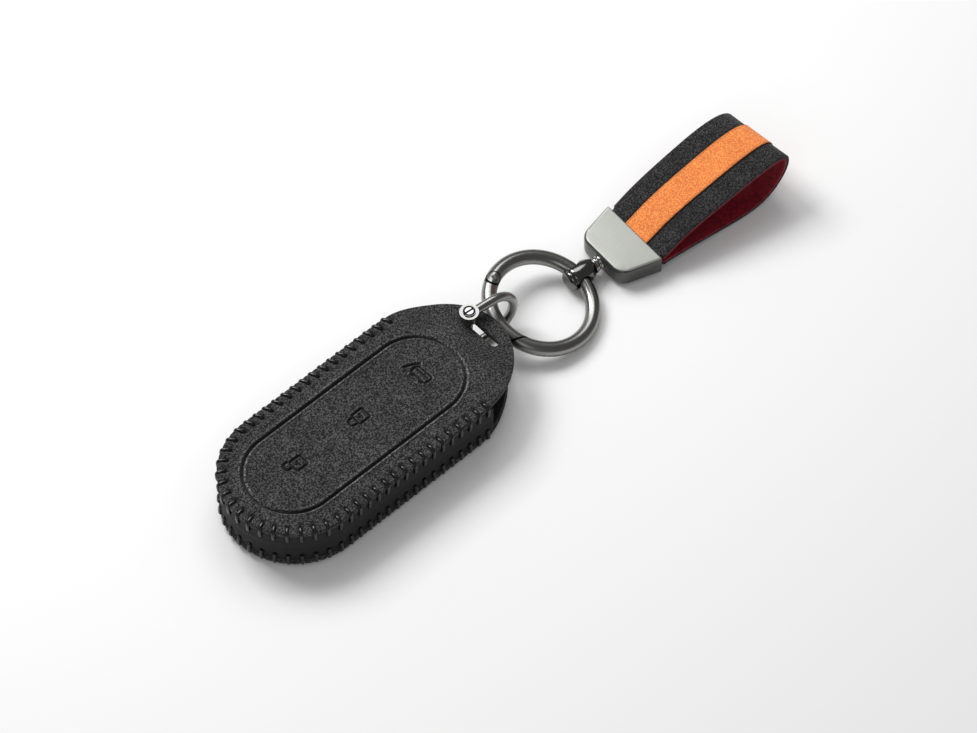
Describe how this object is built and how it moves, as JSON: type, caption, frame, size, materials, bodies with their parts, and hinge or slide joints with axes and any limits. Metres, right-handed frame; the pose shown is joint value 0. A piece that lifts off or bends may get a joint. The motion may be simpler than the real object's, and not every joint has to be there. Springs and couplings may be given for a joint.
{
  "type": "key fob cover",
  "caption": "Stitched suede key fob cover with debossed button signs, joined by a screw shackle and a sprung-gate ring to a swivel clasp with a striped strap loop.",
  "frame": {"origin": "on the outer face of the back panel, below the middle of the debossed button line", "axes": "+X along the case to the ring and the strap, +Z out of the front panel, +Y to the left of +X"},
  "size_m": [0.1904, 0.0428, 0.018],
  "materials": {
    "charcoal_suede": "suede, matte",
    "dark_lining": "smooth, matte",
    "black_edge": "burnished edge",
    "black_thread": "waxed",
    "polished_steel": "polished",
    "dark_nickel": "polished dark nickel",
    "spring_steel": "plain",
    "satin_alloy": "satin",
    "orange_suede": "suede, matte",
    "crimson_leather": "smooth"
  },
  "bodies": {
    "case": {"front_panel": "charcoal_suede", "front_lining": "dark_lining", "back_panel": "charcoal_suede", "back_lining": "dark_lining", "side_band": "black_edge", "front_thread": "black_thread", "back_thread": "black_thread"},
    "screw": {"shackle_screw": "polished_steel"},
    "bow": {"shackle_bow": "dark_nickel"},
    "ring": {"ring_body": "dark_nickel", "gate_rivet": "dark_nickel", "gate_spring": "spring_steel"},
    "gate": {"ring_gate": "dark_nickel"},
    "yoke": {"swivel_yoke": "dark_nickel"},
    "strap": {"swivel_stem": "polished_steel", "swivel_washer": "polished_steel", "clasp_shell": "satin_alloy", "clasp_screws": "spring_steel", "strap_outer": "charcoal_suede", "strap_stripe": "orange_suede", "strap_lining": "crimson_leather"}
  },
  "joints": [
    {"name": "screw_slide", "type": "slide", "parent": "case", "child": "screw", "axis": [0, 1, 0], "range_m": [-0.0098, 0]},
    {"name": "bow_swivel", "type": "hinge", "parent": "screw", "child": "bow", "pos_m": [0.0454, 0.0049, 0.0079], "axis": [0, 0, 1], "range_deg": [0, 28]},
    {"name": "ring_swing", "type": "hinge", "parent": "bow", "child": "ring", "pos_m": [0.05371, 0.00403, 0.00757], "axis": [-0.3022, -0.9389, -0.1645], "range_deg": [0, 80]},
    {"name": "gate_turn", "type": "hinge", "parent": "ring", "child": "gate", "pos_m": [0.06084, 0.01251, 0.00845], "axis": [0.1327, -0.2123, 0.9681], "range_deg": [0, 12], "stiffness_Nm_per_rad": 0.02, "springref_deg": -34.38},
    {"name": "yoke_swing", "type": "hinge", "parent": "ring", "child": "yoke", "pos_m": [0.08177, 0.0008, 0.00302], "axis": [0.0681, 0.9736, 0.2177], "range_deg": [-90, 90]},
    {"name": "strap_turn", "type": "hinge", "parent": "yoke", "child": "strap", "pos_m": [0.08177, 0.0008, 0.00302], "axis": [0.9976, -0.0698, 0], "continuous": true}
  ]
}
